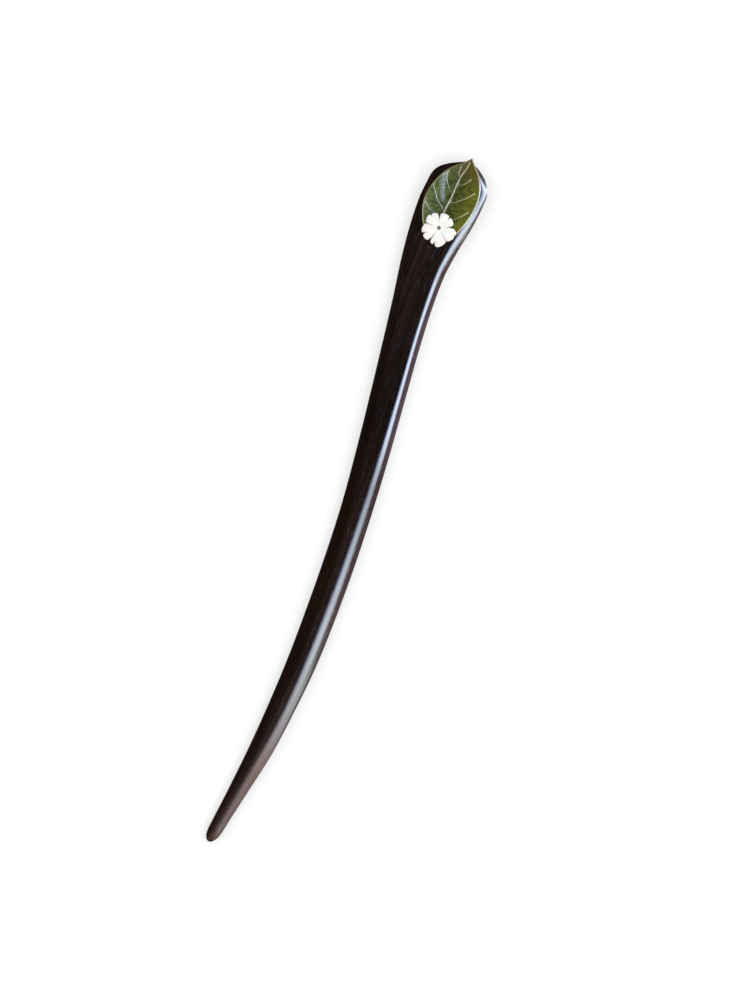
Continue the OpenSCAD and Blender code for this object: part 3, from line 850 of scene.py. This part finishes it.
# Curtain of light at places along X, in metres: the radiance of its low part, of the bright band
# over that and of its top, and the heights in degrees between which the low part turns into the
# band and the band into the top. CURTAIN_HEIGHTS holds the heights of its rows in degrees, and
# BLUE_LIFT how much higher the band reaches in each colour.
CURTAIN = [
    # at, low, band, top, rise, fall
    (-0.50, (1.0, 0.9, 0.85), (2.3, 1.7, 1.5), (0.7, 0.6, 0.55), (-40, 30), (50, 90)),
    (-0.32, (2.0, 1.5, 1.4), (4.1, 1.7, 0.8), (2.6, 1.0, 0.5), (-50, 30), (70, 100)),
    (-0.235, (1.4, 1.2, 1.3), (5.0, 4.9, 4.9), (1.5, 1.1, 1.0), (-40, 30), (55, 92)),
    (-0.17, (0.6, 0.45, 0.5), (7.0, 7.5, 7.7), (0.2, 0.1, 0.1), (-40, 4), (28, 66)),
    (-0.10, (0.4, 0.3, 0.32), (9.3, 10.6, 11.4), (0.0, 0.0, 0.0), (6, 34), (60, 77)),
    (-0.03, (0.7, 0.42, 0.42), (8.8, 10.0, 11.4), (0.0, 0.0, 0.0), (0, 30), (44, 69)),
    (0.015, (0.5, 0.3, 0.32), (8.0, 9.4, 11.4), (0.0, 0.0, 0.0), (14, 45), (50, 74)),
    (0.055, (0.5, 0.32, 0.36), (9.3, 10.6, 12.5), (0.0, 0.0, 0.0), (8, 26), (40, 70)),
    (0.087, (0.6, 0.4, 0.5), (11.6, 13.6, 16.4), (0.0, 0.0, 0.0), (4, 24), (10, 68)),
    (0.105, (0.6, 0.4, 0.5), (10.2, 11.6, 14.0), (0.0, 0.0, 0.0), (6, 26), (34, 72)),
    (0.25, (0.6, 0.4, 0.5), (9.8, 11.2, 13.4), (0.0, 0.0, 0.0), (6, 26), (34, 72)),
    (0.45, (6.5, 7.4, 9.4), (11.0, 12.6, 15.4), (0.0, 0.0, 0.0), (-20, 10), (50, 78)),
    (0.58, (6.5, 7.4, 9.4), (11.0, 12.6, 15.4), (0.0, 0.0, 0.0), (-20, 10), (50, 78)),
    (0.66, (0.35, 0.33, 0.36), (0.8, 0.8, 0.9), (0.2, 0.2, 0.2), (-40, 20), (50, 86)),
]
CURTAIN_HEIGHTS = (-50, -35, -20, -10, 0, 6, 12, 18, 24, 30, 38, 46, 54, 60, 66, 72, 78, 86)
BLUE_LIFT = np.array([0.0, 0.3, 2.5])
# Places of the curtains' columns, close where the light along X varies
RIGHT_COLUMNS = np.concatenate([
    [-1.6, -0.7],
    np.linspace(-0.5, 0.14, 45),
    np.linspace(0.2, 0.8, 13),
    [1.6],
])
LEFT_COLUMNS = np.linspace(-1.6, -0.9, 3)

FLOOR_REACH = 3.0
KEY_LIGHT = {"place": (0.0, -0.62, 0.90), "size": (1.0, 0.8), "power": 4.0, "colour": (0.96, 0.98, 1.0)}
FILL_LIGHT = {"place": (0.0, 0.25, 1.5), "size": (2.4, 2.4), "power": 36.0, "colour": (1.0, 0.99, 0.98)}
WORLD_COLOUR = (1.0, 0.84, 0.74, 1.0)
WORLD_STRENGTH = 0.03


def add_camera():
    """Camera straight above, turned and placed so that the stick's two ends fall on their pixels."""
    along_px = np.subtract(HEAD_PX, TIP_PX)
    mm_per_px = STICK_LENGTH / np.linalg.norm(along_px)
    heading = math.atan2(-along_px[1], along_px[0])
    to_centre = np.array([IMAGE_W / 2 - TIP_PX[0], -(IMAGE_H / 2 - TIP_PX[1])]) * mm_per_px
    c, s = math.cos(-heading), math.sin(-heading)
    turned = np.array([c * to_centre[0] - s * to_centre[1], s * to_centre[0] + c * to_centre[1]])
    centre = turned - ORIGIN[:2]
    camera = bpy.data.cameras.new("camera")
    camera.lens = LENS
    camera.sensor_width = SENSOR
    camera.clip_start = 0.05
    camera.clip_end = 10.0
    placed = in_scene("camera", camera)
    distance = IMAGE_H * mm_per_px * LENS / SENSOR
    placed.location = Vector((centre[0], centre[1], distance + PLANE_Z)) * MM
    placed.rotation_euler = (0.0, 0.0, -heading)
    bpy.context.scene.camera = placed


def add_softbox(name, place, size, power, colour):
    """Soft light turned to the origin, which lights the colours and stays out of the polish."""
    light = bpy.data.lights.new(name, "AREA")
    light.shape = "RECTANGLE"
    light.size, light.size_y = size
    light.energy = power
    light.color = colour
    lamp = in_scene(name, light)
    lamp.location = place
    lamp.rotation_euler = (-Vector(place)).to_track_quat("-Z", "Y").to_euler()
    lamp.visible_glossy = False
    lamp.visible_camera = False


def curtain_light(low, band, top, rise, fall):
    """Radiance of the curtain's rows at one place along X."""
    up = np.array(CURTAIN_HEIGHTS, dtype=float)[:, None]
    lit = mix(np.array(low), band, smooth_step(*rise, up))
    return mix(lit, top, smooth_step(*fall, up - BLUE_LIFT))


def add_curtain(name, side, xs):
    """Glowing curtain on the stick's left (1) or right (-1) side, which shows in the polish alone."""
    up = np.radians(CURTAIN_HEIGHTS)
    at = np.array([row[0] for row in CURTAIN])
    light_at = np.array([curtain_light(*row[1:]) for row in CURTAIN])
    points, lights = [], []
    for x in xs:
        y = side * CURTAIN_REACH * np.cos(up)
        points.append(np.stack([x + 0 * up, y, CURTAIN_REACH * np.sin(up)], axis=-1))
        i = int(np.clip(np.searchsorted(at, x) - 1, 0, len(at) - 2))
        lights.append(mix(light_at[i], light_at[i + 1], np.clip((x - at[i]) / (at[i + 1] - at[i]), 0, 1)))
    count = len(up)
    i, k = np.meshgrid(np.arange(len(xs) - 1), np.arange(count - 1), indexing="ij")
    a = i * count + k
    faces = np.stack([a, a + 1, a + count + 1, a + count], axis=-1).reshape(-1, 4)
    curtain = new_object(name, np.concatenate(points), faces.tolist())
    glow = curtain.data.attributes.new("glow", "FLOAT_COLOR", "POINT")
    colours = np.column_stack([np.concatenate(lights), np.ones(len(xs) * count)])
    glow.data.foreach_set("color", colours.ravel().astype(np.float32))
    curtain.data.materials.append(curtain_material())
    curtain.visible_camera = False
    curtain.visible_diffuse = False
    curtain.visible_shadow = False


def add_floor():
    corners = np.array([(-1, -1, 0), (1, -1, 0), (1, 1, 0), (-1, 1, 0)])
    floor = new_object("floor", corners * FLOOR_REACH, [(0, 1, 2, 3)])
    floor.data.materials.append(floor_material())
    floor.visible_glossy = False


def add_world():
    world = bpy.data.worlds.new("studio")
    world.use_nodes = True
    background = world.node_tree.nodes["Background"]
    background.inputs["Color"].default_value = WORLD_COLOUR
    background.inputs["Strength"].default_value = WORLD_STRENGTH
    bpy.context.scene.world = world
    bpy.context.scene.view_settings.view_transform = "Standard"


def add_stage():
    add_floor()
    add_curtain("right_curtain", -1, RIGHT_COLUMNS)
    add_curtain("left_curtain", 1, LEFT_COLUMNS)
    add_softbox("key", **KEY_LIGHT)
    add_softbox("fill", **FILL_LIGHT)
    add_world()


def dress(piece, node, material):
    piece.data.materials.append(material)
    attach(piece, "root")
    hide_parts(node)


add_camera()
dress(make_stick(), "stick", wood_material())
dress(make_leaf(), "leaf", leaf_material())
dress(make_flower(), "flower", shell_material())
add_stage()
